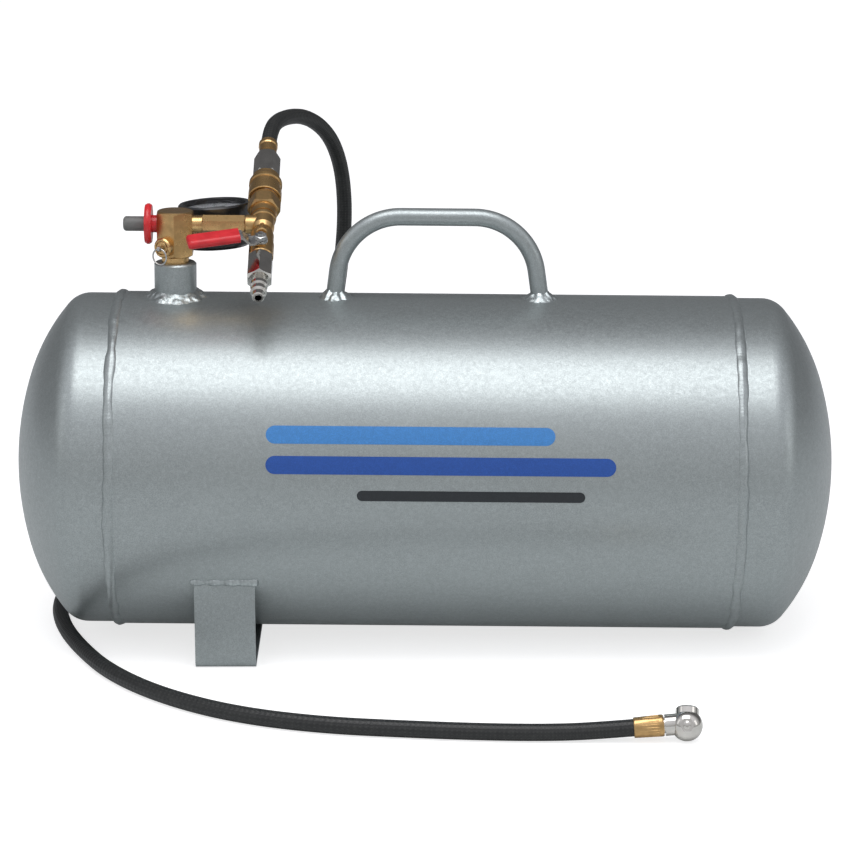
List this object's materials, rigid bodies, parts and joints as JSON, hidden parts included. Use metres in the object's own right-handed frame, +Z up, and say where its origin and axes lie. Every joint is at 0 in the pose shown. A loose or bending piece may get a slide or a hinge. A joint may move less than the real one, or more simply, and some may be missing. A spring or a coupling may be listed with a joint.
{
  "type": "portable air tank",
  "caption": "Portable compressed-air tank with carry handle, strap foot, brass valve manifold, pressure gauge, ball valve, quick coupler, and a hose ending in a tyre chuck.",
  "frame": {"origin": "on the floor, below the middle of the tank", "axes": "+X along the tank towards its right head, +Y to the back, +Z up"},
  "size_m": [0.5574, 0.4465, 0.34],
  "materials": {
    "tank_paint": "satin silver-grey metallic enamel on aluminium",
    "weld_metal": "silver-painted rippled weld bead",
    "brass": "turned brass, slightly dull",
    "chrome": "bright nickel plate",
    "steel": "plated steel",
    "spring_steel": "drawn spring wire",
    "red_plastic": "red moulded plastic",
    "red_vinyl": "dipped red vinyl",
    "grey_plastic": "grey moulded plastic",
    "black_enamel": "semi-gloss black enamel",
    "dial_white": "matt white printed dial",
    "clear_lens": "clear flat lens",
    "ptfe_white": "white PTFE",
    "seal_rubber": "black nitrile rubber",
    "hose_rubber": "black rubber with a faint woven mark"
  },
  "bodies": {
    "tank": {"ball_valve_body": "brass", "bourdon_tube": "brass", "carry_handle": "tank_paint", "chuck_body": "chrome", "chuck_ferrule": "brass", "chuck_seal": "seal_rubber", "chuck_spring": "spring_steel", "coupler_body": "brass", "coupler_seal": "seal_rubber", "coupling_weld": "weld_metal", "extension_nipple": "brass", "fill_valve_body": "brass", "fill_valve_spring": "spring_steel", "foot_strap": "tank_paint", "foot_welds": "weld_metal", "gauge_bezel": "black_enamel", "gauge_case": "black_enamel", "gauge_dial": "dial_white", "gauge_lens": "clear_lens", "gauge_movement": "brass", "gauge_stem": "brass", "half_coupling": "tank_paint", "handle_welds": "weld_metal", "hose": "hose_rubber", "hose_ferrule": "brass", "hose_insert": "brass", "hose_plug": "chrome", "left_head": "tank_paint", "lock_balls": "steel", "manifold_body": "brass", "outlet_plug": "chrome", "poppet_spring": "spring_steel", "relief_cap": "brass", "relief_spring": "spring_steel", "relief_valve_body": "brass", "retaining_ring": "steel", "right_head": "tank_paint", "seam_welds": "weld_metal", "sleeve_spring": "spring_steel", "stem_packing": "ptfe_white", "tank_shell": "tank_paint", "tee_body": "brass", "valve_seats": "ptfe_white", "valve_tailpiece": "brass"},
    "shutoff_knob": {"shutoff_knob": "red_plastic", "shutoff_spindle": "brass"},
    "shutoff_seal": {"shutoff_seal": "seal_rubber"},
    "valve_cap": {"valve_cap": "grey_plastic"},
    "fill_valve_core": {"fill_valve_core": "brass"},
    "relief_stem": {"relief_stem": "steel"},
    "pull_ring": {"pull_ring": "steel"},
    "lever": {"lever_arm": "steel", "lever_grip": "red_vinyl", "lever_nut": "steel", "valve_stem": "steel", "valve_ball": "chrome"},
    "coupler_sleeve": {"coupler_sleeve": "brass"},
    "coupler_poppet": {"coupler_poppet": "brass"},
    "gauge_pointer": {"gauge_pointer": "black_enamel"},
    "chuck_pin": {"chuck_pin": "steel"}
  },
  "joints": [
    {"name": "knob_turn", "type": "hinge", "parent": "tank", "child": "shutoff_knob", "pos_m": [-0.18647, 0, 0.28427], "axis": [-0.9999, 0, 0.012], "range_deg": [0, 340]},
    {"name": "seal_lift", "type": "slide", "parent": "tank", "child": "shutoff_seal", "axis": [-0.9999, 0, 0.012], "range_m": [0, 0.0014]},
    {"name": "cap_pull", "type": "slide", "parent": "tank", "child": "valve_cap", "axis": [-0.9999, 0, 0.012], "range_m": [0, 0.015]},
    {"name": "core_press", "type": "slide", "parent": "tank", "child": "fill_valve_core", "axis": [0.9999, 0, -0.012], "range_m": [0, 0.0015], "stiffness_N_per_m": 400, "springref_m": -0.004, "deforming": ["fill_valve_spring"]},
    {"name": "relief_lift", "type": "slide", "parent": "tank", "child": "relief_stem", "axis": [-0.5, -0.866, 0.006], "range_m": [0, 0.0015], "stiffness_N_per_m": 2000, "springref_m": -0.004, "deforming": ["relief_spring"]},
    {"name": "ring_swing", "type": "hinge", "parent": "relief_stem", "child": "pull_ring", "pos_m": [-0.17828, -0.01628, 0.27017], "axis": [-0.866, 0.5, 0.0104], "range_deg": [-15, 95]},
    {"name": "lever_turn", "type": "hinge", "parent": "tank", "child": "lever", "pos_m": [-0.10938, -0.0281, 0.27024], "axis": [0.0109, -0.4226, 0.9062], "range_deg": [-14, 76]},
    {"name": "sleeve_slide", "type": "slide", "parent": "tank", "child": "coupler_sleeve", "axis": [-0.0051, -0.9063, -0.4226], "range_m": [0, 0.003], "stiffness_N_per_m": 2500, "springref_m": -0.004, "deforming": ["sleeve_spring"]},
    {"name": "poppet_slide", "type": "slide", "parent": "tank", "child": "coupler_poppet", "axis": [-0.0051, -0.9063, -0.4226], "range_m": [0, 0.003], "stiffness_N_per_m": 800, "springref_m": -0.004, "deforming": ["poppet_spring"]},
    {"name": "pointer_turn", "type": "hinge", "parent": "tank", "child": "gauge_pointer", "pos_m": [-0.14382, 0.0433, 0.27515], "axis": [0.0484, -0.0349, -0.9982], "range_deg": [0, 270], "stiffness_Nm_per_rad": 0.0002, "springref_deg": -28.65},
    {"name": "pin_press", "type": "slide", "parent": "tank", "child": "chuck_pin", "axis": [-0.0499, -0.5993, -0.799], "range_m": [0, 0.002], "stiffness_N_per_m": 800, "springref_m": -0.003, "deforming": ["chuck_spring"]}
  ],
  "couplings": [
    {"joint": "seal_lift", "follows": "knob_turn", "m_per_rad": 0.00022282}
  ]
}
